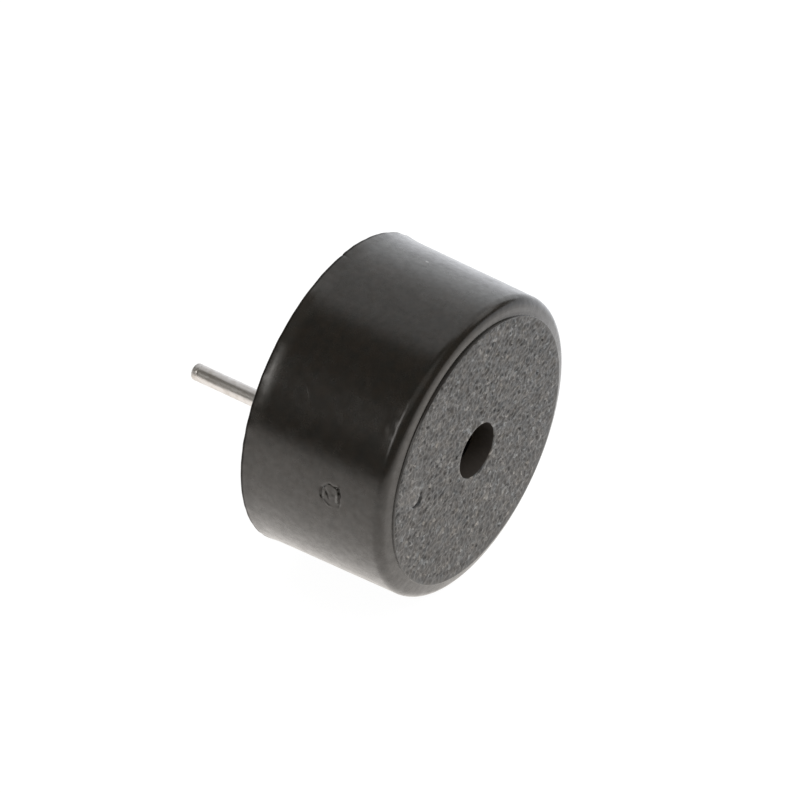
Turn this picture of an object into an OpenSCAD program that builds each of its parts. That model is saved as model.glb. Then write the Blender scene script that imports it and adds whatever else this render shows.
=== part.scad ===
// Piezo buzzer with two solder pins: a moulded cup with a sound hole in its raised front face,
// a bonded piezo diaphragm behind the hole, and a base plate that carries the pins and their contact springs.
// The axis is +Z towards the sound hole, z = 0 is the rear rim that sits on a circuit board,
// and the pins stand on the X axis and point down.

/* [Case] */
// Diameter over the lip of the rear rim
case_d = 13; // [12.6:0.1:15]
// Height from the rear rim to the raised front face
case_h = 6.7; // [6.2:0.1:9]
// Amount that the rear lip stands out from the side wall
lip_proud = 0.05; // [0.02:0.01:0.1]
// Height of the straight edge of the rear lip
lip_h = 0.1; // [0.05:0.01:0.2]
// Height at which the lip has run out into the side wall
flare_h = 0.5; // [0.3:0.05:0.8]
// Draft of the side wall in degrees
draft = 0.9; // [0.3:0.1:1.5]
// Radius that turns the side wall into the front shoulder
shoulder_round = 0.45; // [0.3:0.05:0.7]
// Width of the sloping shoulder between its round and the raised face
shoulder_land = 0.25; // [0.1:0.05:0.5]
// Slope of the shoulder towards the raised face in degrees
shoulder_slope = 13.5; // [5:0.5:20]
// Height of the raised face above the shoulder
face_step = 0.08; // [0.05:0.01:0.2]
// Diameter of the sound hole
hole_d = 2.35; // [1.5:0.05:3.5]
// Thickness of the front wall
front_t = 1; // [0.8:0.05:1.4]
// Thickness of the side wall around the rear chamber
wall = 1; // [0.8:0.05:1.1]

/* [Diaphragm] */
// Depth of the resonance chamber between diaphragm and front wall
resonance_depth = 0.9; // [0.5:0.05:1.4]
// Width of the ledge under the rim of the diaphragm
ledge_w = 0.7; // [0.5:0.05:0.9]
// Gap between the edge of the diaphragm and the side wall
plate_gap = 0.1; // [0.05:0.01:0.15]
// Thickness of the brass diaphragm
plate_t = 0.1; // [0.05:0.01:0.2]
// Bare margin of the brass diaphragm around the ceramic disc
disc_margin = 1.65; // [1.5:0.05:2.1]
// Thickness of the ceramic disc
disc_t = 0.15; // [0.1:0.01:0.3]
// Bare margin of the ceramic disc around its silver film
film_margin = 0.3; // [0.2:0.05:0.6]
// Thickness of the silver film
film_t = 0.03; // [0.02:0.01:0.05]
// Width of the silicone bond on the rim of the diaphragm
bond_w = 0.45; // [0.3:0.05:0.5]
// Height of the silicone bond up the side wall
bond_h = 0.4; // [0.2:0.05:0.8]

/* [Base] */
// Depth of the base plate inside the rear rim
base_recess = 0.5; // [0.3:0.05:0.8]
// Thickness of the flange of the base plate
flange_t = 0.7; // [0.5:0.05:1]
// Height of the spigot that enters the rear chamber
spigot_h = 0.3; // [0.2:0.05:0.5]
// Width of the step in the case that the flange sits on
seat_w = 0.3; // [0.2:0.05:0.4]
// Width of the resin bead on the base plate
bead_w = 0.35; // [0.2:0.05:0.6]
// Height of the resin bead on the case
bead_h = 0.25; // [0.1:0.05:0.25]

/* [Terminals] */
// Distance from the edge of the rear lip in to the axis of a pin
pin_inset = 2.7; // [2.5:0.05:3.2]
// Diameter of the free end of a pin
pin_d = 0.7; // [0.5:0.05:0.8]
// Length of a pin below the rear rim
pin_len = 4.25; // [3:0.05:8]
// Rounding of the end of a pin
pin_round = 0.18; // [0.05:0.01:0.22]
// Diameter of the thicker shank of a pin inside the base plate
shank_d = 0.9; // [0.85:0.05:1]
// Diameter of the head of a pin
head_d = 1.4; // [1.2:0.05:1.6]
// Thickness of the head of a pin
head_t = 0.25; // [0.15:0.05:0.4]
// Thickness of the spring strip
spring_t = 0.15; // [0.1:0.01:0.2]
// Width of the spring strip
spring_w = 0.8; // [0.5:0.05:0.85]
// Diameter of the foot of a spring around its pin
foot_d = 1.8; // [1.6:0.05:2]
// Distance from a pin to the point where its spring touches
spring_len = 2.6; // [2.3:0.05:3]
// Mean radius of the bend above the foot of a spring
bend_r = 0.35; // [0.25:0.05:0.45]
// Mean radius of the curled tip of a spring
tip_r = 0.4; // [0.25:0.05:0.5]

/* [Hidden] */
$fn = 96;

// Radial clearances of the base plate in the case and of a pin in its hole
base_fit = 0.03;
pin_fit = 0.02;
// How far cutting shapes run past the faces that they open
over = 1;
// Angle through which a spring tip curls past its contact line
tip_curl = 40;
// Steps of each bend of a spring
bend_steps = 8;

// Radii of the case from outside to inside
case_r = case_d / 2;
wall_r = case_r - lip_proud;
chamber_r = wall_r - wall;
seat_r = chamber_r + seat_w;
ledge_r = chamber_r - ledge_w;
hole_r = hole_d / 2;

// Levels of the case from front to rear
foot_z = case_h - face_step;
chamber_top = case_h - front_t;
ledge_z = chamber_top - resonance_depth;

// Centre of the shoulder round, which touches the drafted wall and the sloping shoulder
round_up = shoulder_round * cos(shoulder_slope);
round_out = shoulder_round * sin(shoulder_slope);
round_z = foot_z - round_up - (shoulder_land + round_out) * tan(shoulder_slope);
round_r = wall_r - (round_z - flare_h) * tan(draft) - shoulder_round / cos(draft);
face_r = round_r - shoulder_land;

// Levels of the base plate from rear to front
seat_z = base_recess + flange_t;
base_top = seat_z + spigot_h;

// Stack of the diaphragm from its ledge to the rear
plate_r = chamber_r - plate_gap;
plate_z = ledge_z - plate_t;
disc_r = plate_r - disc_margin;
disc_z = plate_z - disc_t;
film_z = disc_z - film_t;
bond_r = plate_r - bond_w;

// Pins, and the place where the plate spring touches, midway between ceramic and silicone
pin_x = case_r - pin_inset;
pin_r = pin_d / 2;
shank_r = shank_d / 2;
pin_hole_r = shank_r + pin_fit;
touch_r = (disc_r + bond_r) / 2;
plate_spring_turn = acos((pow(touch_r, 2) - pow(pin_x, 2) - pow(spring_len, 2)) / (2 * pin_x * spring_len));

function reversed(list) = [for (i = [len(list) - 1 : -1 : 0]) list[i]];

// Angles of an arc in even steps
function angles(from, to, first = 0) = [for (i = [first : bend_steps]) from + (to - from) * i / bend_steps];

function arc(centre, radius, turn) = [for (angle = turn) centre + radius * [cos(angle), sin(angle)]];

module case_outline() {
    polygon([
        [0, 0],
        [case_r, 0],
        [case_r, lip_h],
        [wall_r, flare_h],
        [round_r + shoulder_round * cos(draft), round_z + shoulder_round * sin(draft)],
        [round_r, round_z],
        [round_r + round_out, round_z + round_up],
        [face_r, foot_z],
        [face_r, case_h],
        [0, case_h]
    ]);
    translate([round_r, round_z])
        circle(r = shoulder_round);
}

// Stretch of the hollow inside the case, open to the rear
module hollow(radius, top) {
    translate([0, -over])
        square([radius, top + over]);
}

module case() {
    color([0.17, 0.17, 0.18])
        rotate_extrude()
            difference() {
                case_outline();
                hollow(seat_r, seat_z);
                hollow(chamber_r, ledge_z);
                hollow(ledge_r, chamber_top);
                hollow(hole_r, case_h + over);
            }
}

module base_plate() {
    color([0.14, 0.14, 0.15])
        difference() {
            union() {
                translate([0, 0, base_recess])
                    cylinder(r = seat_r - base_fit, h = flange_t);
                translate([0, 0, base_recess])
                    cylinder(r = chamber_r - base_fit, h = flange_t + spigot_h);
            }
            for (side = [-1, 1])
                translate([side * pin_x, 0, base_recess - over])
                    cylinder(r = pin_hole_r, h = flange_t + spigot_h + 2 * over);
        }
}

module joint_bead() {
    color([0.1, 0.1, 0.1])
        rotate_extrude()
            polygon([
                [seat_r - bead_w, base_recess],
                [seat_r, base_recess],
                [seat_r, base_recess - bead_h]
            ]);
}

module diaphragm_plate() {
    color([0.8, 0.65, 0.35])
        translate([0, 0, plate_z])
            cylinder(r = plate_r, h = plate_t);
}

module piezo_disc() {
    color([0.85, 0.8, 0.68])
        translate([0, 0, disc_z])
            cylinder(r = disc_r, h = disc_t);
}

module electrode_film() {
    color([0.82, 0.82, 0.8])
        translate([0, 0, film_z])
            cylinder(r = disc_r - film_margin, h = film_t);
}

module bond_ring() {
    color([0.9, 0.9, 0.88])
        rotate_extrude()
            polygon([
                [bond_r, plate_z],
                [plate_r, plate_z],
                [plate_r, ledge_z],
                [chamber_r, ledge_z],
                [chamber_r, plate_z - bond_h]
            ]);
}

// Half section of a pin: rounded free end, shank in the base plate and head on the spring foot
module pin_section() {
    head_z = base_top + spring_t;
    translate([0, -pin_len + pin_round])
        square([pin_r, pin_len - pin_round + head_z]);
    translate([0, -pin_len])
        square([pin_r - pin_round, pin_round]);
    intersection() {
        translate([pin_r - pin_round, -pin_len + pin_round])
            circle(r = pin_round);
        translate([0, -pin_len])
            square([pin_r, pin_len]);
    }
    translate([0, base_recess])
        square([shank_r, head_z - base_recess]);
    translate([0, head_z])
        square([head_d / 2, head_t]);
}

module pin(side) {
    color([0.78, 0.77, 0.75])
        translate([side * pin_x, 0, 0])
            rotate_extrude()
                pin_section();
}

module plate_pin() {
    pin(1);
}

module electrode_pin() {
    pin(-1);
}

// Side view of a spring strip that lies flat at the pin, climbs, and curls over where it touches
module spring_section(rise) {
    half_t = spring_t / 2;
    bend_at = [foot_d / 2, half_t + bend_r];
    tip_at = [spring_len, rise - half_t - tip_r];
    across = tip_at[0] - bend_at[0];
    climb = tip_at[1] - bend_at[1];
    both_r = bend_r + tip_r;
    arm = sqrt(pow(across, 2) + pow(climb, 2) - pow(both_r, 2));
    slope = atan2(climb, across) + atan2(both_r, arm);
    bend_turn = angles(-90, slope - 90);
    tip_turn = concat(angles(slope + 90, 90), angles(90, 90 - tip_curl, 1));
    under = concat([[0, 0]], arc(bend_at, bend_r + half_t, bend_turn), arc(tip_at, tip_r - half_t, tip_turn));
    upper = concat([[0, spring_t]], arc(bend_at, bend_r - half_t, bend_turn), arc(tip_at, tip_r + half_t, tip_turn));
    polygon(concat(under, reversed(upper)));
}

module contact_spring(rise) {
    color([0.72, 0.52, 0.3])
        difference() {
            union() {
                cylinder(d = foot_d, h = spring_t);
                rotate([90, 0, 0])
                    linear_extrude(height = spring_w, center = true)
                        spring_section(rise);
            }
            translate([0, 0, -over])
                cylinder(r = pin_hole_r, h = spring_t + 2 * over);
        }
}

module plate_spring() {
    translate([pin_x, 0, base_top])
        rotate([0, 0, plate_spring_turn])
            contact_spring(plate_z - base_top);
}

module electrode_spring() {
    translate([-pin_x, 0, base_top])
        contact_spring(film_z - base_top);
}

case();
base_plate();
joint_bead();
diaphragm_plate();
piezo_disc();
electrode_film();
bond_ring();
plate_pin();
electrode_pin();
plate_spring();
electrode_spring();
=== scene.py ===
import math

import bpy
from mathutils import Euler, Matrix, Vector, noise


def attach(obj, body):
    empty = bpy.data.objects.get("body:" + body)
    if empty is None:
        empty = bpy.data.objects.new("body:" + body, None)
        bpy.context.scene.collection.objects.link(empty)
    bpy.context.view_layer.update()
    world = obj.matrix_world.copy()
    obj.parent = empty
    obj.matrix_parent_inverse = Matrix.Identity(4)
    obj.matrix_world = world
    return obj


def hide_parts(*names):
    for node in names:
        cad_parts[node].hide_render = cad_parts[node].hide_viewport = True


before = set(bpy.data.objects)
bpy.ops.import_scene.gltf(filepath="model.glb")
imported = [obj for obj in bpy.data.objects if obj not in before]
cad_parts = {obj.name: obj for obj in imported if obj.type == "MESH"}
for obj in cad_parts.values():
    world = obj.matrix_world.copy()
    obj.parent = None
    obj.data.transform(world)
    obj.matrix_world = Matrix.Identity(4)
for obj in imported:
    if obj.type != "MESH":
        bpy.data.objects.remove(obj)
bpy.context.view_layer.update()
mm = 0.001
tiny = 0.001  # mm, to tell heights apart
scene = bpy.context.scene
print("frame loaded:", len(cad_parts), "nodes")

# Camera at the photo's viewing angle; the buzzer lies on its side on a pale table
cameraSpec = {
    "location": (319.225, -166.632, 174.169),  # mm
    "turn": (-41.168, -55.145, -160.6478),  # degrees about X, Y, Z
    "lens": 463.956,
    "sensor": 36.0,
    "clip": (10.0, 20000.0),  # mm
}
cameraData = bpy.data.cameras.new("photoCamera")
cameraData.lens = cameraSpec["lens"]
cameraData.sensor_width = cameraSpec["sensor"]
cameraData.clip_start = cameraSpec["clip"][0] * mm
cameraData.clip_end = cameraSpec["clip"][1] * mm
photoCamera = bpy.data.objects.new("photoCamera", cameraData)
photoCamera.location = Vector(cameraSpec["location"]) * mm
photoCamera.rotation_euler = Euler([math.radians(a) for a in cameraSpec["turn"]], "XYZ")
scene.collection.objects.link(photoCamera)
scene.camera = photoCamera

# Table axes in the part's frame: right, away from the camera, up
cameraTurn = photoCamera.rotation_euler.to_matrix()
tableRight = (cameraTurn @ Vector((1, 0, 0))).normalized()
tableUp = Vector((0, 0, 1)).cross(tableRight).normalized()
if tableUp.dot(cameraTurn @ Vector((0, 1, 0))) < 0:
    tableUp.negate()
tableAway = tableUp.cross(tableRight).normalized()
print("camera set")


def atTable(right, away, up):
    return (tableRight * right + tableAway * away + tableUp * up) * mm


# Small helpers for node trees
def newMaterial(name):
    material = bpy.data.materials.new(name)
    material.use_nodes = True
    tree = material.node_tree
    tree.nodes.clear()
    return material, tree


def addNode(tree, kind, settings=None, inputs=None):
    node = tree.nodes.new(kind)
    for key, value in (settings or {}).items():
        setattr(node, key, value)
    for key, value in (inputs or {}).items():
        if isinstance(value, bpy.types.NodeSocket):
            tree.links.new(value, node.inputs[key])
        else:
            node.inputs[key].default_value = value
    return node


def finishMaterial(tree, shader):
    tree.links.new(shader.outputs[0], addNode(tree, "ShaderNodeOutputMaterial").inputs["Surface"])


def mathOf(tree, operation, *values):
    return addNode(tree, "ShaderNodeMath", {"operation": operation}, dict(enumerate(values))).outputs[0]


def vectorMath(tree, operation, *vectors):
    return addNode(tree, "ShaderNodeVectorMath", {"operation": operation}, dict(enumerate(vectors)))


def scaled(tree, vector, factor):
    node = addNode(tree, "ShaderNodeVectorMath", {"operation": "SCALE"}, {0: vector, "Scale": factor})
    return node.outputs["Vector"]


def mixColor(tree, share, first, second, blend="MIX"):
    node = addNode(tree, "ShaderNodeMix", {"data_type": "RGBA", "blend_type": blend}, {
        0: share, 6: first, 7: second})
    return node.outputs[2]


def mixNumber(tree, share, first, second):
    return addNode(tree, "ShaderNodeMix", {"data_type": "FLOAT"}, {0: share, 2: first, 3: second}).outputs[0]


def ramp(tree, value, stops):
    node = addNode(tree, "ShaderNodeValToRGB", None, {"Fac": value})
    elements = node.color_ramp.elements
    while len(elements) < len(stops):
        elements.new(0.5)
    for element, (place, color) in zip(elements, stops):
        element.position = place
        element.color = (*color, 1.0)
    return node.outputs["Color"]


def mapped(tree, value, low, high, toLow, toHigh):
    node = addNode(tree, "ShaderNodeMapRange", None, {
        "Value": value, "From Min": low, "From Max": high, "To Min": toLow, "To Max": toHigh})
    return node.outputs["Result"]


def graded(tree, length, limits, toLow, toHigh):
    # limits are lengths in mm
    return mapped(tree, length, limits[0] * mm, limits[1] * mm, toLow, toHigh)


def noiseOf(tree, point, size, detail=2.0, rough=0.5):
    # size is the grain size in mm
    node = addNode(tree, "ShaderNodeTexNoise", None, {
        "Vector": point, "Scale": 1.0 / (size * mm), "Detail": detail, "Roughness": rough})
    return node.outputs["Fac"]


noiseSpan = (0.3, 0.7)  # most values of a noise lie between these


def varied(tree, grain, limits):
    return mapped(tree, grain, *noiseSpan, *limits)


def toned(tree, grain, finish):
    return ramp(tree, grain, list(zip(noiseSpan, (finish["dark"], finish["light"]))))


def bumpOf(tree, height, depth, strength=1.0, normal=None):
    # depth is the height of the relief in mm
    inputs = {"Height": height, "Distance": depth * mm, "Strength": strength}
    if normal is not None:
        inputs["Normal"] = normal
    return addNode(tree, "ShaderNodeBump", None, inputs).outputs["Normal"]


# Places on the part in node trees
def objectPoint(tree):
    return addNode(tree, "ShaderNodeTexCoord").outputs["Object"]


def heightOf(tree, point):
    return addNode(tree, "ShaderNodeSeparateXYZ", None, {0: point}).outputs["Z"]


def flatOf(tree, point):
    return vectorMath(tree, "MULTIPLY", point, (1, 1, 0)).outputs["Vector"]


def radiusOf(tree, flat):
    return vectorMath(tree, "LENGTH", flat).outputs["Value"]


def outAlong(tree, point, direction):
    return vectorMath(tree, "DOT_PRODUCT", point, direction).outputs["Value"]


def lineMask(tree, point, start, end, width, peak=1.0):
    # peak on a fine straight mark from start to end (mm), fading to 0 at half its width
    origin = start * mm
    along = end * mm - origin
    offset = vectorMath(tree, "SUBTRACT", point, origin).outputs["Vector"]
    share = outAlong(tree, offset, along / along.length_squared)
    part = addNode(tree, "ShaderNodeClamp", None, {"Value": share}).outputs[0]
    gap = vectorMath(tree, "DISTANCE", offset, scaled(tree, along, part)).outputs["Value"]
    return graded(tree, gap, (0.0, width / 2), peak, 0.0)


def onWall(azimuth, z, radius):
    angle = math.radians(azimuth)
    return Vector((radius * math.cos(angle), radius * math.sin(angle), z))


def onFace(radius, azimuth):
    return onWall(azimuth, 0.0, radius)


def sided(tree, flat, spot, low, high):
    # rises from low to high towards the azimuth of a spot
    out = outAlong(tree, flat, onFace(1.0, spot["azimuth"]))
    return graded(tree, out, spot["reach"], low, high)


# Revolved pieces: rows of (radius, z) in mm, columns at the given angles, and an offset of each point
def revolve(name, rows, angles, shift, finish, centre=(0.0, 0.0), sharpRow=None):
    columns = len(angles)
    vertices = []
    for radius, z in rows:
        for angle in angles:
            dr, dz = shift(radius, z, angle)
            r = radius + dr
            x = centre[0] + r * math.cos(angle)
            y = centre[1] + r * math.sin(angle)
            vertices.append((x * mm, y * mm, (z + dz) * mm))
    faces = []
    for i in range(len(rows) - 1):
        here, there = i * columns, (i + 1) * columns
        for k in range(columns):
            n = (k + 1) % columns
            faces.append((here + k, here + n, there + n, there + k))
    mesh = bpy.data.meshes.new(name)
    mesh.from_pydata(vertices, [], faces)
    mesh.shade_smooth()
    for edge in mesh.edges:
        edge.use_edge_sharp = all(v // columns == sharpRow for v in edge.vertices)
    mesh.materials.append(finish)
    piece = bpy.data.objects.new(name, mesh)
    scene.collection.objects.link(piece)
    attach(piece, "root")
    return piece


def spread(start, end, step):
    count = max(1, round(abs(end - start) / step))
    return [start + (end - start) * i / count for i in range(count + 1)]


def evenAngles(count):
    return [2 * math.pi * k / count for k in range(count)]


def arcRows(centre, radius, start, end, step):
    angles = spread(start, end, step)
    return [(centre[0] + radius * math.cos(a), centre[1] + radius * math.sin(a)) for a in angles]


def eased(corner, before, after, ease):
    # three points that ease a corner of a section
    c, b, a = Vector(corner), Vector(before), Vector(after)
    toBack, toNext = (b - c).normalized() * ease, (a - c).normalized() * ease
    return [tuple(c + toBack), tuple(c + (toBack + toNext) * 0.25), tuple(c + toNext)]


def bell(distance, width):
    return math.exp(-(distance / width) ** 2)


def arcGap(angle, azimuth):
    return (angle - math.radians(azimuth) + math.pi) % (2 * math.pi) - math.pi


# Finishes of the pieces inside and behind the case; grain sizes and reliefs in mm
innerFinishes = {
    "hollowPlastic": {"dark": (0.046, 0.04, 0.036), "light": (0.06, 0.053, 0.048), "grain": 0.15,
                      "roughness": (0.5, 0.65), "relief": 0.006, "metal": 0.0},
    "basePlastic": {"dark": (0.028, 0.028, 0.03), "light": (0.05, 0.05, 0.052), "grain": 0.12,
                    "roughness": (0.45, 0.6), "relief": 0.006, "metal": 0.0},
    "resinBead": {"dark": (0.012, 0.012, 0.012), "light": (0.028, 0.027, 0.026), "grain": 0.7,
                  "roughness": (0.12, 0.22), "relief": 0.02, "metal": 0.0},
    "brassSheet": {"dark": (0.68, 0.5, 0.22), "light": (0.84, 0.67, 0.36), "grain": 0.35,
                   "roughness": (0.25, 0.4), "relief": 0.002, "metal": 1.0},
    "piezoCeramic": {"dark": (0.64, 0.57, 0.42), "light": (0.76, 0.7, 0.55), "grain": 0.2,
                     "roughness": (0.5, 0.7), "relief": 0.003, "metal": 0.0},
    "silverFilm": {"dark": (0.74, 0.74, 0.71), "light": (0.9, 0.9, 0.87), "grain": 0.15,
                   "roughness": (0.35, 0.55), "relief": 0.002, "metal": 1.0},
    "siliconeBond": {"dark": (0.74, 0.74, 0.71), "light": (0.88, 0.88, 0.85), "grain": 0.8,
                     "roughness": (0.35, 0.5), "relief": 0.02, "metal": 0.0},
    "springBronze": {"dark": (0.58, 0.37, 0.2), "light": (0.78, 0.56, 0.34), "grain": 0.25,
                     "roughness": (0.25, 0.4), "relief": 0.002, "metal": 1.0},
}


def innerMaterial(name):
    finish = innerFinishes[name]
    material, tree = newMaterial(name)
    point = objectPoint(tree)
    grain = noiseOf(tree, point, finish["grain"], 4.0, 0.6)
    rough = varied(tree, noiseOf(tree, point, finish["grain"] * 3, 2.0), finish["roughness"])
    finishMaterial(tree, addNode(tree, "ShaderNodeBsdfPrincipled", None, {
        "Base Color": toned(tree, grain, finish), "Metallic": finish["metal"], "Roughness": rough,
        "Normal": bumpOf(tree, grain, finish["relief"])}))
    return material


finishes = {name: innerMaterial(name) for name in innerFinishes}
print("inner finishes made:", len(finishes))

# Moulded case: sizes in mm, as the exact case has them, then the marks on it and the spacing of its mesh
caseSpec = {
    "lipRadius": 6.5, "lipHeight": 0.1, "flareHeight": 0.5, "wallRadius": 6.45, "draft": 0.9,
    "roundRadius": 0.45, "land": 0.25, "slope": 13.5, "faceStep": 0.08, "faceZ": 6.7, "holeRadius": 1.175,
    "seatRadius": 5.75, "seatZ": 1.2, "chamberRadius": 5.45, "ledgeZ": 4.8, "ledgeRadius": 4.75,
    "chamberTop": 5.7, "edgeEase": 0.05, "edgeRound": 0.015, "lipRound": 0.06, "flareEase": 0.18,
    "cornerEase": 0.02,
    "gateMark": {"azimuth": 10.3, "z": 4.13, "across": 0.95, "along": 0.88, "square": 3.4, "round": 2.0,
                 "crack": 0.05, "burr": 0.015, "line": 0.045, "torn": 0.016, "lip": 0.02, "lipIn": 0.1,
                 "scarFrom": (-0.15, -0.2), "scarTo": (0.2, -0.02), "scar": 0.012, "scarWobble": 0.05,
                 "wobble": 0.12, "wobbleRate": 5, "tornRate": 6, "tornRise": 3, "area": (0.7, 0.65),
                 "reach": 6.4, "columnStep": 0.2, "rowReach": 0.66, "rowStep": 0.024},
    "moat": {"azimuth": -61.0, "spread": 25.0, "depth": 0.05, "width": 0.06, "reach": 0.22},
    "nick": {"azimuth": -74.5, "width": 0.1, "depth": 0.03, "height": 0.16, "flash": 0.035, "fade": 0.25,
             "reach": 3.0, "columnStep": 0.3},
    "rimWave": {"depth": 0.02, "around": 16, "rise": 2, "height": 0.2},
    "wallFrom": 0.9, "rowStep": 0.4, "columnStep": 0.75, "hollowColumns": 240,
    "landRows": (0.21, 0.17, 0.13, 0.1, 0.07, 0.04, 0.02, 0.0),
    "arcSteps": {"lip": 0.3, "round": 0.1, "edge": 0.25},  # radians
}
slopeAngle = math.radians(caseSpec["slope"])
draftAngle = math.radians(caseSpec["draft"])
footZ = caseSpec["faceZ"] - caseSpec["faceStep"]
roundZ = (footZ - caseSpec["roundRadius"] * math.cos(slopeAngle)
          - (caseSpec["land"] + caseSpec["roundRadius"] * math.sin(slopeAngle)) * math.tan(slopeAngle))
roundCentre = (caseSpec["wallRadius"] - (roundZ - caseSpec["flareHeight"]) * math.tan(draftAngle)
               - caseSpec["roundRadius"] / math.cos(draftAngle))
faceRadius = roundCentre - caseSpec["land"]
lipInset = caseSpec["lipRadius"] - caseSpec["lipRound"]

# Satin black plastic of the case; a mark runs between two places on the wall (azimuth, z, radius), and a
# grain is a size in mm, a detail and a roughness
caseFinish = {
    "dark": (0.0085, 0.0084, 0.0072), "light": (0.0165, 0.0122, 0.0086), "pale": (0.45, 0.45, 0.45, 1.0),
    "tint": (1.0, 0.97, 0.93, 1.0), "roughness": (0.19, 0.3), "ior": 1.5, "skin": (0.5, 1.0), "gloss": 0.5,
    "grains": {"cloud": (0.4, 4.0, 0.6), "fine": (0.12, 4.0, 0.6), "rough": (0.5, 4.0),
               "skin": (0.3, 4.0, 0.65), "ripple": (0.9, 3.0), "scuff": (0.35, 0.0)},
    "rippleRelief": 0.009, "fineRelief": 0.002,
    "scratchesAndHighlights": [
        {"from": (-23.3, 1.95, 6.44), "to": (-18.3, 2.35, 6.44), "width": 0.03, "pale": 1.0},
        {"from": (-6.9, 0.88, 6.46), "to": (-6.0, 1.24, 6.46), "width": 0.04, "pale": 1.0},
        # the next three, in the gate mark, are painted highlights
        {"from": (9.9, 4.42, 6.39), "to": (11.9, 4.44, 6.39), "width": 0.18, "pale": 0.7},
        {"from": (9.9, 3.83, 6.39), "to": (11.4, 3.84, 6.39), "width": 0.16, "pale": 0.5},
        {"from": (7.7, 3.92, 6.39), "to": (8.3, 3.95, 6.39), "width": 0.16, "pale": 0.4},
    ],
    "speck": {"from": (-93.3, 2.58, 6.43), "to": (-93.3, 2.6, 6.43), "width": 0.18},
    "cracks": [
        {"from": (5.7, 4.47, 6.39), "to": (12.1, 4.58, 6.39), "width": 0.19},
        {"from": (9.3, 3.71, 6.39), "to": (12.3, 3.75, 6.39), "width": 0.22},
        {"from": (9.8, 3.93, 6.39), "to": (11.8, 4.07, 6.39), "width": 0.15},
        {"from": (12.6, 3.78, 6.39), "to": (14.5, 4.13, 6.39), "width": 0.12},
    ],
    "crackSpan": (0.0, 0.55), "crackGloss": 0.25,
    "scuff": {"from": (-42.0, 6.1, 6.3), "to": (-20.0, 6.1, 6.3), "width": 0.9, "relief": 0.04},
    "trim": {"heights": (0.09, 0.14), "gloss": 0.3},
    # painted light: the foot of the face is paler towards this azimuth
    "footHighlight": {"azimuth": 25.0, "reach": (3.2, 4.9), "past": (0.002, 0.006), "pale": (0.045, 0.2)},
    "polished": {"azimuth": -31.0, "reach": (5.2, 6.1), "heights": (0.45, 0.75), "gloss": 1.0},
    "ridge": {"azimuth": -66.0, "reach": (3.0, 5.2), "radius": 5.87, "width": 0.22, "gloss": 0.45},
}


def wallMark(tree, point, mark):
    start, end = onWall(*mark["from"]), onWall(*mark["to"])
    return lineMask(tree, point, start, end, mark["width"], mark.get("pale", 1.0))


def paleMarks(tree, point, flat, fine):
    # one speck, scratches and painted highlights in the gate mark, all broken up by the fine grain, and
    # painted light that makes the foot of the face paler on one side
    marks = wallMark(tree, point, caseFinish["speck"])
    for paleLine in caseFinish["scratchesAndHighlights"]:
        broken = mathOf(tree, "MULTIPLY", wallMark(tree, point, paleLine), fine)
        marks = mathOf(tree, "MAXIMUM", marks, broken)
    # painted light: the foot of the face is paler towards one azimuth
    footHighlight = caseFinish["footHighlight"]
    most = sided(tree, flat, footHighlight, *footHighlight["pale"])
    limits = [faceRadius + past for past in footHighlight["past"]]
    paleArea = graded(tree, radiusOf(tree, flat), limits, most, 0.0)
    return mathOf(tree, "MAXIMUM", marks, paleArea)


def wholeSkin(tree, point, fine):
    # the trimmed edge of the rear rim and the cracks of the gate mark are matte
    trim = caseFinish["trim"]
    whole = graded(tree, heightOf(tree, point), trim["heights"], trim["gloss"], 1.0)
    for crack in caseFinish["cracks"]:
        broken = mathOf(tree, "MULTIPLY", wallMark(tree, point, crack), fine)
        kept = mapped(tree, broken, *caseFinish["crackSpan"], 1.0, caseFinish["crackGloss"])
        whole = mathOf(tree, "MULTIPLY", whole, kept)
    return whole


def caseGloss(tree, point, flat, whole):
    # the flare is polished on one side, and the land is glossier in a band
    even, polished, ridge = caseFinish["gloss"], caseFinish["polished"], caseFinish["ridge"]
    most = sided(tree, flat, polished, even, polished["gloss"])
    gloss = graded(tree, heightOf(tree, point), polished["heights"], most, even)
    level = mathOf(tree, "MULTIPLY", whole, gloss)
    most = sided(tree, flat, ridge, 0.0, ridge["gloss"])
    gap = mathOf(tree, "SUBTRACT", radiusOf(tree, flat), ridge["radius"] * mm)
    gap = mathOf(tree, "ABSOLUTE", gap)
    band = graded(tree, gap, (0.25 * ridge["width"], 0.5 * ridge["width"]), 1.0, 0.0)
    return mathOf(tree, "MULTIPLY_ADD", most, band, level)


def casePlastic():
    finish, grains = caseFinish, caseFinish["grains"]
    material, tree = newMaterial("casePlastic")
    point = objectPoint(tree)
    flat = flatOf(tree, point)
    fine = noiseOf(tree, point, *grains["fine"])
    color = toned(tree, noiseOf(tree, point, *grains["cloud"]), finish)
    color = mixColor(tree, paleMarks(tree, point, flat, fine), color, finish["pale"])
    rough = varied(tree, noiseOf(tree, point, *grains["rough"]), finish["roughness"])
    whole = wholeSkin(tree, point, fine)
    skin = varied(tree, noiseOf(tree, point, *grains["skin"]), finish["skin"])
    skin = mathOf(tree, "MULTIPLY", skin, whole)
    normal = bumpOf(tree, noiseOf(tree, point, *grains["ripple"]), finish["rippleRelief"])
    scuffed = wallMark(tree, point, finish["scuff"])
    normal = bumpOf(tree, noiseOf(tree, point, *grains["scuff"]), finish["scuff"]["relief"], scuffed, normal)
    normal = bumpOf(tree, fine, finish["fineRelief"], 1.0, normal)
    finishMaterial(tree, addNode(tree, "ShaderNodeBsdfPrincipled", None, {
        "Base Color": color, "Roughness": rough, "IOR": finish["ior"], "Coat Weight": skin,
        "Coat Roughness": finish["roughness"][0], "Specular Tint": finish["tint"],
        "Specular IOR Level": caseGloss(tree, point, flat, whole), "Normal": normal}))
    return material


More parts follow.
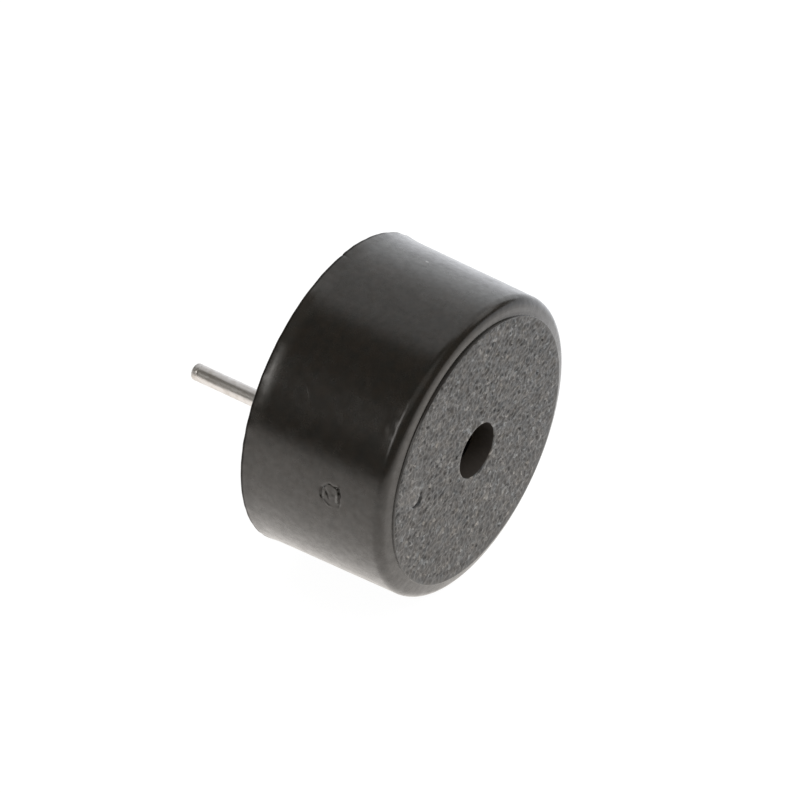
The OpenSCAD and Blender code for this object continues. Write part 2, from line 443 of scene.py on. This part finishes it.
def caseRows():
    # section of the outside, from the rear rim to the edge of the face
    s, mark, arcs = caseSpec, caseSpec["gateMark"], caseSpec["arcSteps"]
    lipTop = (s["lipRadius"], s["lipHeight"])
    flare = (s["wallRadius"], s["flareHeight"])
    rows = arcRows((lipInset, s["lipRound"]), s["lipRound"], -math.pi / 2, 0.0, arcs["lip"])
    rows.append(lipTop)
    rows += eased(flare, lipTop, (s["wallRadius"], s["faceZ"]), s["flareEase"])
    wallTop = roundZ + s["roundRadius"] * math.sin(draftAngle)
    markLow, markHigh = mark["z"] - mark["rowReach"], mark["z"] + mark["rowReach"]
    levels = spread(s["wallFrom"], markLow, s["rowStep"])
    levels += spread(markLow, markHigh, mark["rowStep"])[1:]
    levels += spread(markHigh, wallTop, s["rowStep"])[1:-1]
    rows += [(s["wallRadius"] - (z - s["flareHeight"]) * math.tan(draftAngle), z) for z in levels]
    landAngle = math.pi / 2 - slopeAngle
    rows += arcRows((roundCentre, roundZ), s["roundRadius"], draftAngle, landAngle, arcs["round"])
    rows += [(faceRadius + out, footZ - out * math.tan(slopeAngle)) for out in s["landRows"]]
    edge = s["edgeRound"]
    rows += arcRows((faceRadius - edge, s["faceZ"] - edge), edge, 0.0, math.pi / 2, arcs["edge"])
    return rows


def wallAngles():
    # even columns, closer together at the gate mark and the nick
    degrees = spread(-180.0, 180.0, caseSpec["columnStep"])[:-1]
    for spot in (caseSpec["gateMark"], caseSpec["nick"]):
        azimuth, reach = spot["azimuth"], spot["reach"]
        degrees = [a for a in degrees if abs(a - azimuth) > reach]
        degrees += spread(azimuth - reach, azimuth + reach, spot["columnStep"])
    return [math.radians(a) for a in sorted(degrees)]


def caseInside():
    # section of the hollow, from the sound hole to the rear rim
    s = caseSpec
    corners = [
        (s["holeRadius"], s["faceZ"] - s["edgeEase"]), (s["holeRadius"], s["chamberTop"]),
        (s["ledgeRadius"], s["chamberTop"]), (s["ledgeRadius"], s["ledgeZ"]),
        (s["chamberRadius"], s["ledgeZ"]), (s["chamberRadius"], s["seatZ"]),
        (s["seatRadius"], s["seatZ"]), (s["seatRadius"], 0.0), (lipInset, 0.0),
    ]
    rows = [corners[0]]
    for i in range(1, len(corners) - 1):
        rows += eased(corners[i], corners[i - 1], corners[i + 1], s["cornerEase"])
    rows.append(corners[-1])
    return rows


def gateRelief(side, up):
    # scar of the sheared gate: a groove on one side, a burr on the other, cracks between them, a torn middle
    mark = caseSpec["gateMark"]
    halfAcross, halfAlong = mark["across"] / 2, mark["along"] / 2
    power = mark["square"] if up > 0 else mark["round"]
    reach = (abs(side / halfAcross) ** power + abs(up / halfAlong) ** power) ** (1 / power)
    rate = mark["wobbleRate"]
    reach += mark["wobble"] * noise.noise(Vector((side * rate, up * rate, 1.0)))
    gone = (reach - 1) * halfAlong
    flank = min(1.0, abs(up) / halfAlong) ** 2
    ring = mark["burr"] * max(-1.0, min(1.0, side / halfAcross)) - mark["crack"] * flank
    lip = mark["lip"] * flank * bell(gone + mark["lipIn"], mark["line"])
    start = Vector(mark["scarFrom"])
    span = Vector(mark["scarTo"]) - start
    at = Vector((side, up)) - start
    part = min(1.0, max(0.0, at.dot(span) / span.length_squared))
    rate = mark["tornRate"]
    gap = (at - span * part).length
    gap += mark["scarWobble"] * noise.noise(Vector((side * rate, up * rate, 5.0)))
    torn = mark["torn"] * noise.noise(Vector((side * rate, up * rate, 3.0)))
    torn -= mark["scar"] * bell(gap, mark["line"])
    middle = min(1.0, max(0.0, 1 - reach) * mark["tornRise"])
    return ring * bell(gone, mark["line"]) + lip + middle * torn


def rimRelief(radius, z, angle):
    # the nick in the rear rim, flash beside it and slight waves all round
    nick, wave = caseSpec["nick"], caseSpec["rimWave"]
    away = arcGap(angle, nick["azimuth"]) * radius
    dr = -nick["depth"] * bell(away, nick["width"]) * bell(z, nick["height"])
    if away < 0:
        dr += nick["flash"] * math.exp(away / radius / nick["fade"]) * bell(z, nick["height"])
    place = Vector((math.cos(angle) * wave["around"], math.sin(angle) * wave["around"], z * wave["rise"]))
    return dr + wave["depth"] * noise.noise(place) * bell(z, wave["height"])


def wallShift(radius, z, angle):
    mark, nick, moat = caseSpec["gateMark"], caseSpec["nick"], caseSpec["moat"]
    if z > footZ + tiny:
        return 0.0, 0.0
    if radius < faceRadius + moat["reach"]:
        share = bell(arcGap(angle, moat["azimuth"]), math.radians(moat["spread"]))
        return 0.0, -moat["depth"] * share * math.exp((faceRadius - radius) / moat["width"])
    side, up = arcGap(angle, mark["azimuth"]) * radius, z - mark["z"]
    if abs(side) < mark["area"][0] and abs(up) < mark["area"][1]:
        return gateRelief(side, up), 0.0
    if z < nick["height"] * 2:
        return rimRelief(radius, z, angle), 0.0
    return 0.0, 0.0


finishes["casePlastic"] = casePlastic()
bodyRows = caseRows()
caseBody = revolve("caseBody", bodyRows, wallAngles(), wallShift, finishes["casePlastic"],
                   sharpRow=bodyRows.index((faceRadius, footZ)))
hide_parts("case")
caseHollow = revolve("caseHollow", caseInside(), evenAngles(caseSpec["hollowColumns"]),
                     lambda r, z, a: (0.0, 0.0), finishes["hollowPlastic"])
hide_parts("case")
print("case made:", len(caseBody.data.polygons), len(caseHollow.data.polygons), "faces")

# Crescent left by the mould in the face: its ends as radius and azimuth, its form and the painted shade in
# it
crescent = {
    "from": (3.87, 8.6), "to": (4.4, 16.3), "bow": 0.26, "width": 0.058, "depth": 0.42, "smooth": 0.2,
    # the shade parts, width and span lay painted shade along the groove; kept is the share of colour and
    # shine left in it
    "shadeParts": (0.15, 0.95, 0.2), "shadeWidth": 0.22, "shadeSpan": (0.3, 0.7), "kept": 0.1,
}
crescentFrom = onFace(*crescent["from"])
crescentSpan = onFace(*crescent["to"]) - crescentFrom
crescentAcross = Vector((-crescentSpan.y, crescentSpan.x, 0)).normalized()


def crescentPoint(part):
    return crescentFrom + crescentSpan * part + crescentAcross * crescent["bow"] * (1 - (2 * part - 1) ** 2)


# Spark-eroded texture of the raised front face; radii and reaches in mm, grains as for the case
faceFinish = {
    "tones": [
        (0.16, (0.008, 0.008, 0.008)),  # pits
        (0.34, (0.062, 0.062, 0.063)),  # body
        (0.64, (0.062, 0.062, 0.063)),
        (0.77, (0.13, 0.13, 0.13)),  # crests
        (0.88, (0.36, 0.36, 0.36)),  # glints
    ],
    "hues": [(0.35, (0.86, 0.94, 1.0)), (0.65, (1.0, 0.93, 0.84))],
    "facet": 0.13, "facetShare": 0.7, "bendSize": 0.1, "bend": 0.035,
    "grains": {"fine": (0.2, 1.5, 0.6), "hue": (0.45, 2.0), "rough": (0.3, 2.0), "relief": (0.15, 1.0, 0.6)},
    "relief": 0.035, "roughness": (0.25, 0.45), "ior": 1.75, "shine": (0.15, 0.5),
    "polish": {"azimuth": -31.0, "reach": (0.5, 3.0), "radii": (5.3, 5.6), "left": 0.15},
    # painted shade along the edge of the face, darkest around this azimuth
    "edge": {"azimuth": -31.0, "reach": (1.5, 4.5), "radii": (5.44, 5.64), "dark": 0.2},
    # painted highlight: a paler ring along the rim of the hole
    "holeRim": {"radii": (1.2, 1.28), "pale": 0.8},
    "patch": {"from": (2.68, 129.3), "to": (3.03, 112.1), "width": 1.0, "pale": 0.6},
}


def faceGrain(tree, point):
    # bent cells of one tone each, mixed with a finer grain
    finish = faceFinish
    bend = addNode(tree, "ShaderNodeTexNoise", None, {
        "Vector": point, "Scale": 1.0 / (finish["bendSize"] * mm)}).outputs["Color"]
    bent = vectorMath(tree, "MULTIPLY_ADD", bend, (finish["bend"] * mm,) * 3, point).outputs["Vector"]
    cells = addNode(tree, "ShaderNodeTexVoronoi", None, {
        "Vector": bent, "Scale": 1.0 / (finish["facet"] * mm)}).outputs["Color"]
    facet = addNode(tree, "ShaderNodeSeparateColor", None, {0: cells}).outputs[0]
    return mixNumber(tree, finish["facetShare"], noiseOf(tree, point, *finish["grains"]["fine"]), facet)


def faceColor(tree, point, grain):
    tone = ramp(tree, grain, faceFinish["tones"])
    hue = ramp(tree, noiseOf(tree, point, *faceFinish["grains"]["hue"]), faceFinish["hues"])
    return mixColor(tree, 1.0, tone, hue, "MULTIPLY")


def facePlastic():
    finish, grains = faceFinish, faceFinish["grains"]
    polish, edgeShade, rim, patch = finish["polish"], finish["edge"], finish["holeRim"], finish["patch"]
    material, tree = newMaterial("facePlastic")
    point = objectPoint(tree)
    flat = flatOf(tree, point)
    radius = radiusOf(tree, flat)
    # the grain is polished away along the far edge
    left = graded(tree, radius, polish["radii"], 1.0, sided(tree, flat, polish, polish["left"], 1.0))
    color = faceColor(tree, point, mixNumber(tree, left, 0.5, faceGrain(tree, point)))
    # painted shade: the edge is darker and less shiny around one azimuth; one patch is paler, and a painted
    # highlight makes the rim of the hole paler
    edge = graded(tree, radius, edgeShade["radii"], 1.0, sided(tree, flat, edgeShade, 1.0, edgeShade["dark"]))
    paleArea = lineMask(tree, flat, onFace(*patch["from"]), onFace(*patch["to"]), patch["width"])
    level = mathOf(tree, "MULTIPLY_ADD", paleArea, patch["pale"], edge)
    # painted highlight on the rim of the hole
    level = mathOf(tree, "ADD", level, graded(tree, radius, rim["radii"], rim["pale"], 0.0))
    color = scaled(tree, color, level)
    shine = mapped(tree, edge, edgeShade["dark"], 1.0, *finish["shine"])
    # painted shade: colour and shine are darkened along the crescent
    parts = spread(*crescent["shadeParts"])
    for part, following in zip(parts, parts[1:]):
        mask = lineMask(tree, flat, crescentPoint(part), crescentPoint(following), crescent["shadeWidth"])
        kept = mapped(tree, mask, *crescent["shadeSpan"], 1.0, crescent["kept"])
        color = scaled(tree, color, kept)
        shine = mathOf(tree, "MULTIPLY", shine, kept)
    rough = varied(tree, noiseOf(tree, point, *grains["rough"]), finish["roughness"])
    normal = bumpOf(tree, noiseOf(tree, point, *grains["relief"]), finish["relief"], left)
    finishMaterial(tree, addNode(tree, "ShaderNodeBsdfPrincipled", None, {
        "Base Color": color, "Roughness": rough, "IOR": finish["ior"], "Specular IOR Level": shine,
        "Normal": normal}))
    return material


# Raised face with its grain, the crescent and the smoother patches beside it
faceSpec = {
    "step": 0.05, "columns": 720,
    "grainSize": 0.17, "grainDepth": 0.055, "fineSize": 0.11, "fineDepth": 0.02, "sink": 0.008,
    "rim": (0.05, 0.35), "rimAzimuth": 149.0, "rimSpread": 75.0, "holeRim": 0.16,
    "patches": [
        {"at": (4.4, 8.5), "size": 0.5, "calm": 0.75},
        {"at": (5.06, 27.0), "size": 0.32, "calm": 0.8},
    ],
}


def faceRows():
    s = caseSpec
    ease, hole, top = s["edgeEase"], s["holeRadius"], s["faceZ"]
    rows = [(r, top) for r in spread(faceRadius - s["edgeRound"], hole + ease, faceSpec["step"])]
    rows += [(hole + ease * 0.3, top - ease * 0.3), (hole, top - ease)]
    return rows


def faceCalm(at, radius, angle):
    # share of the grain that is left: less in the patches and along the edges
    s, f = caseSpec, faceSpec
    calm = 1.0
    for patch in f["patches"]:
        calm *= 1 - patch["calm"] * bell((at - onFace(*patch["at"])).length, patch["size"])
    sharp, soft = f["rim"]
    rim = sharp + (soft - sharp) * bell(arcGap(angle, f["rimAzimuth"]), math.radians(f["rimSpread"]))
    fromHole = radius - s["holeRadius"] - s["edgeEase"]
    fromEdge = faceRadius - s["edgeRound"] - radius
    return calm * min(1.0, fromHole / f["holeRim"], fromEdge / rim)


def faceShift(radius, z, angle):
    f = faceSpec
    if z < caseSpec["faceZ"] - tiny:
        return 0.0, 0.0
    at = Vector((radius * math.cos(angle), radius * math.sin(angle), 0.0))
    grain = noise.noise(at / f["grainSize"]) * f["grainDepth"]
    grain += noise.noise(at / f["fineSize"] + Vector((7.0, 3.0, 1.0))) * f["fineDepth"]
    dz = (grain - f["sink"]) * faceCalm(at, radius, angle)
    part = (at - crescentFrom).dot(crescentSpan) / crescentSpan.length_squared
    if -0.1 < part < 1.1:
        bowed = (at - crescentPoint(part)).dot(crescentAcross)
        taper = max(0.0, 1 - (2 * part - 1) ** 4)
        cut = bell(bowed, crescent["width"]) * taper
        dz = dz * (1 - bell(bowed, crescent["smooth"]) * taper) - crescent["depth"] * cut
    return 0.0, dz


finishes["facePlastic"] = facePlastic()
caseFace = revolve("caseFace", faceRows(), evenAngles(faceSpec["columns"]), faceShift,
                   finishes["facePlastic"])
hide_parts("case")
print("face made:", len(caseFace.data.polygons), "faces")

# Bright tin on the pins, drawn along their length, with a rougher cut end
wireFinish = {
    "dark": (0.65, 0.615, 0.58), "light": (0.83, 0.81, 0.795), "roughness": (0.29, 0.39), "relief": 0.002,
    "spots": (0.3, 4.0, 0.65), "spotSpan": (0.3, 0.6), "streak": (0.05, 3.0, 0.6), "drawn": (1.0, 1.0, 0.06),
    "cut": {"heights": (-4.1, -3.95), "rough": 0.2},
}


def tinnedWire():
    finish, cut = wireFinish, wireFinish["cut"]
    material, tree = newMaterial("tinnedWire")
    point = objectPoint(tree)
    stretched = addNode(tree, "ShaderNodeMapping", None, {"Vector": point, "Scale": finish["drawn"]})
    streak = noiseOf(tree, stretched.outputs[0], *finish["streak"])
    spots = noiseOf(tree, point, *finish["spots"])
    color = ramp(tree, spots, list(zip(finish["spotSpan"], (finish["dark"], finish["light"]))))
    torn = graded(tree, heightOf(tree, point), cut["heights"], cut["rough"], 0.0)
    rough = mathOf(tree, "ADD", varied(tree, streak, finish["roughness"]), torn)
    finishMaterial(tree, addNode(tree, "ShaderNodeBsdfPrincipled", None, {
        "Base Color": color, "Metallic": 1.0, "Roughness": rough,
        "Normal": bumpOf(tree, streak, finish["relief"])}))
    return material


# Round pins with a rolled ring mark near the free end
pinSpec = {
    "pinX": 3.8, "radius": 0.35, "length": 4.25, "endRound": 0.18, "endFlat": 0.09, "axis": 0.001,
    "shankRadius": 0.45, "shankZ": 0.5, "headZ": 1.65, "headTop": 1.9, "headRadius": 0.7,
    "ease": 0.01, "headEase": 0.02, "topEase": 0.04,
    "ring": 0.3, "ringDepth": 0.012, "ringWidth": 0.03, "ringReach": 0.15,
    "wave": 0.004, "waveFrom": 0.3, "waveAround": 3, "waveRise": 1.4,
    "columns": 96, "arcStep": 0.2, "ringStep": 0.02, "rowStep": 0.1,
}


def pinRows():
    s = pinSpec
    tip, ease, end = -s["length"], s["ease"], s["endRound"]
    ringZ = tip + s["ring"]
    rows = [(s["axis"], tip), (s["endFlat"], tip)]
    rows += arcRows((s["radius"] - end, tip + end), end, -math.pi / 2, 0.0, s["arcStep"])
    for z in spread(tip + end + 0.03, ringZ + s["ringReach"], s["ringStep"]):
        rows.append((s["radius"] - s["ringDepth"] * bell(z - ringZ, s["ringWidth"]), z))
    levels = spread(ringZ + s["ringReach"] + 0.05, s["shankZ"] - ease, s["rowStep"])
    rows += [(s["radius"], z) for z in levels]
    rows += [
        (s["radius"], s["shankZ"]), (s["shankRadius"] - ease, s["shankZ"]),
        (s["shankRadius"], s["shankZ"] + ease), (s["shankRadius"], s["headZ"] - ease),
        (s["shankRadius"], s["headZ"]), (s["headRadius"] - s["headEase"], s["headZ"]),
        (s["headRadius"], s["headZ"] + s["headEase"]), (s["headRadius"], s["headTop"] - s["topEase"]),
        (s["headRadius"] - s["topEase"], s["headTop"]), (s["axis"], s["headTop"]),
    ]
    return rows


def pinShift(radius, z, angle):
    # slight waves on the free length
    s = pinSpec
    if radius < s["waveFrom"] or z > s["shankZ"] - 0.02:
        return 0.0, 0.0
    around = s["waveAround"]
    place = Vector((math.cos(angle) * around, math.sin(angle) * around, z * s["waveRise"]))
    return s["wave"] * noise.noise(place), 0.0


finishes["tinnedWire"] = tinnedWire()
for pinName, side in (("plate_pin", 1), ("electrode_pin", -1)):
    pin = revolve("wire_" + pinName, pinRows(), evenAngles(pinSpec["columns"]), pinShift,
                  finishes["tinnedWire"], (side * pinSpec["pinX"], 0.0))
    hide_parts(pinName)
print("pins made")

nodeFinishes = {
    "case": "casePlastic", "base_plate": "basePlastic", "joint_bead": "resinBead",
    "diaphragm_plate": "brassSheet", "piezo_disc": "piezoCeramic", "electrode_film": "silverFilm",
    "bond_ring": "siliconeBond", "plate_pin": "tinnedWire", "electrode_pin": "tinnedWire",
    "plate_spring": "springBronze", "electrode_spring": "springBronze",
}
for nodeName, finishName in nodeFinishes.items():
    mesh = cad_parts[nodeName].data
    mesh.materials.clear()
    mesh.materials.append(finishes[finishName])
print("nodes finished:", len(nodeFinishes))

# Pale table under the side of the case: white to the eye, with a soft trace of the shadow; places in mm
# along the table, away from the camera or to the right
tableSpec = {
    "size": 1600.0, "front": (0.58, 0.555, 0.53), "near": (1.0, 0.955, 0.91), "far": (0.97, 0.99, 1.035),
    "frontTo": -70.0, "nearFrom": -14.0, "nearTo": -2.0, "farFrom": 15.0,
    "fade": 0.62, "fadeOver": (19.0, 48.0), "strength": 0.97, "dim": 0.66, "dimOver": (-140.0, -25.0),
    "fibre": (2.0, 2.0), "dark": (0.9, 0.885, 0.87), "light": (0.92, 0.905, 0.89),
    "trace": (0.14, 0.14, 0.14, 1.0),
}


def mirroredTone(tree, point, right):
    # what the glossy plastic mirrors: dimmer and warmer in front, fading to the right
    spec = tableSpec
    first, last = spec["frontTo"], spec["farFrom"]
    away = graded(tree, outAlong(tree, point, tableAway), (first, last), 0.0, 1.0)
    tone = ramp(tree, away, [
        (0.0, spec["front"]), ((spec["nearFrom"] - first) / (last - first), spec["near"]),
        ((spec["nearTo"] - first) / (last - first), spec["near"]), (1.0, spec["far"])])
    return scaled(tree, tone, graded(tree, right, spec["fadeOver"], 1.0, spec["fade"]))


def tableMaterial():
    material, tree = newMaterial("paleTable")
    path = addNode(tree, "ShaderNodeLightPath").outputs
    seen = mathOf(tree, "MAXIMUM", path["Is Camera Ray"], path["Is Glossy Ray"])
    seen = mathOf(tree, "MAXIMUM", seen, path["Is Transmission Ray"])
    point = objectPoint(tree)
    right = outAlong(tree, point, tableRight)
    tone = mixColor(tree, path["Is Camera Ray"], mirroredTone(tree, point, right), (1, 1, 1, 1))
    bright = graded(tree, right, tableSpec["dimOver"], tableSpec["dim"], tableSpec["strength"])
    pale = toned(tree, noiseOf(tree, point, *tableSpec["fibre"]), tableSpec)
    lit = addNode(tree, "ShaderNodeBsdfDiffuse", None, {"Color": pale})
    white = addNode(tree, "ShaderNodeEmission", None, {"Color": tone, "Strength": bright})
    trace = addNode(tree, "ShaderNodeBsdfDiffuse", None, {"Color": tableSpec["trace"]})
    shown = addNode(tree, "ShaderNodeAddShader", None, {0: white.outputs[0], 1: trace.outputs[0]})
    front = addNode(tree, "ShaderNodeMixShader", None, {0: seen, 1: lit.outputs[0], 2: shown.outputs[0]})
    clear = addNode(tree, "ShaderNodeBsdfTransparent")
    back = addNode(tree, "ShaderNodeNewGeometry").outputs["Backfacing"]
    finishMaterial(tree, addNode(tree, "ShaderNodeMixShader", None, {
        0: back, 1: front.outputs[0], 2: clear.outputs[0]}))
    return material


half = tableSpec["size"] / 2
tableMesh = bpy.data.meshes.new("paleTable")
corners = [(-half, -half), (half, -half), (half, half), (-half, half)]
tableMesh.from_pydata([atTable(x, y, -caseSpec["lipRadius"]) for x, y in corners], [], [(0, 1, 2, 3)])
tableMesh.materials.append(tableMaterial())
paleTable = bpy.data.objects.new("paleTable", tableMesh)
scene.collection.objects.link(paleTable)

# White room to the eye, dim to the object
roomSpec = {"dim": (0.125, 0.118, 0.105, 1.0), "white": (1, 1, 1, 1)}
world = bpy.data.worlds.new("studio")
world.use_nodes = True
worldTree = world.node_tree
worldTree.nodes.clear()
eye = addNode(worldTree, "ShaderNodeLightPath").outputs["Is Camera Ray"]
room = addNode(worldTree, "ShaderNodeBackground", None, {"Color": roomSpec["dim"], "Strength": 1.0})
paper = addNode(worldTree, "ShaderNodeBackground", None, {"Color": roomSpec["white"], "Strength": 1.0})
mixed = addNode(worldTree, "ShaderNodeMixShader", None, {0: eye, 1: room.outputs[0], 2: paper.outputs[0]})
worldTree.links.new(mixed.outputs[0], addNode(worldTree, "ShaderNodeOutputWorld").inputs["Surface"])
scene.world = world

# Each soft box: azimuth from away to the right and height in degrees, distance and sizes in mm, brightness,
# soft edges as shares of the width and height, and brightness steps from its lower to its upper edge
softBoxes = {
    "topBox": {
        "azimuth": 9.0, "height": 50.0, "distance": 420.0, "width": 715.0, "tall": 485.0, "bright": 1.0,
        "edges": (0.05, 0.17), "color": (0.97, 0.98, 1.0), "mirrored": True,
        "steps": [(0.0, 0.74), (0.16, 0.66), (0.36, 0.52), (0.6, 0.5), (0.78, 0.54), (0.9, 0.36)]},
    "backBox": {
        "azimuth": 22.0, "height": 7.5, "distance": 470.0, "width": 440.0, "tall": 370.0, "bright": 0.9,
        "edges": (0.12, 0.22), "color": (0.93, 0.96, 1.0), "mirrored": True,
        "steps": [(0.0, 1.0), (0.6, 1.0), (1.0, 0.8)]},
    "sideBox": {
        "azimuth": 64.0, "height": 27.0, "distance": 480.0, "width": 260.0, "tall": 240.0, "bright": 0.7,
        "edges": (0.25, 0.25), "color": (1.0, 0.98, 0.96), "mirrored": True, "steps": [(0.0, 1.0)]},
    "frontBox": {
        "azimuth": 165.0, "height": 62.0, "distance": 450.0, "width": 560.0, "tall": 400.0, "bright": 0.22,
        "edges": (0.25, 0.25), "color": (1.0, 0.98, 0.95), "mirrored": True, "steps": [(0.0, 1.0)]},
    "stripBox": {
        "azimuth": -137.0, "height": 36.0, "distance": 380.0, "width": 165.0, "tall": 280.0, "bright": 2.3,
        "edges": (0.35, 0.35), "color": (1.0, 0.99, 0.98), "mirrored": True, "steps": [(0.0, 1.0)]},
    "fillBox": {
        "azimuth": 115.0, "height": 62.0, "distance": 430.0, "width": 420.0, "tall": 360.0, "bright": 2.4,
        "edges": (0.1, 0.1), "color": (1.0, 0.985, 0.97), "mirrored": False, "steps": [(0.0, 1.0)]},
}


def softGlow(lamp, box):
    lamp.use_nodes = True
    tree = lamp.node_tree
    tree.nodes.clear()
    place = addNode(tree, "ShaderNodeNewGeometry").outputs["Parametric"]
    axes = addNode(tree, "ShaderNodeSeparateXYZ", None, {0: place}).outputs
    glow = ramp(tree, axes["Y"], [(at, (level,) * 3) for at, level in box["steps"]])
    for axis, edge in zip(("X", "Y"), box["edges"]):
        inside = mathOf(tree, "PINGPONG", axes[axis], 0.5)
        fade = addNode(tree, "ShaderNodeMapRange", {"interpolation_type": "SMOOTHSTEP"}, {
            "Value": inside, "From Max": edge}).outputs["Result"]
        glow = mathOf(tree, "MULTIPLY", glow, fade)
    light = addNode(tree, "ShaderNodeEmission", None, {"Color": (*box["color"], 1.0), "Strength": glow})
    tree.links.new(light.outputs[0], addNode(tree, "ShaderNodeOutputLight").inputs[0])


def softLamp(name, box):
    lamp = bpy.data.lights.new(name, "AREA")
    lamp.shape = "RECTANGLE"
    lamp.size = box["width"] * mm
    lamp.size_y = box["tall"] * mm
    lamp.energy = box["bright"] * math.pi * lamp.size * lamp.size_y
    softGlow(lamp, box)
    return lamp


for boxName, box in softBoxes.items():
    azimuth, height = math.radians(box["azimuth"]), math.radians(box["height"])
    level = math.cos(height)
    outward = atTable(math.sin(azimuth) * level, math.cos(azimuth) * level, math.sin(height)).normalized()
    across = tableUp.cross(outward).normalized()
    upward = outward.cross(across).normalized()
    turn = Matrix((across, upward, outward)).transposed().to_4x4()
    body = bpy.data.objects.new(boxName, softLamp(boxName, box))
    body.matrix_world = Matrix.Translation(outward * box["distance"] * mm) @ turn
    body.visible_camera = False
    body.visible_glossy = box["mirrored"]
    scene.collection.objects.link(body)
print("table and lights set")

scene.view_settings.view_transform = "Standard"
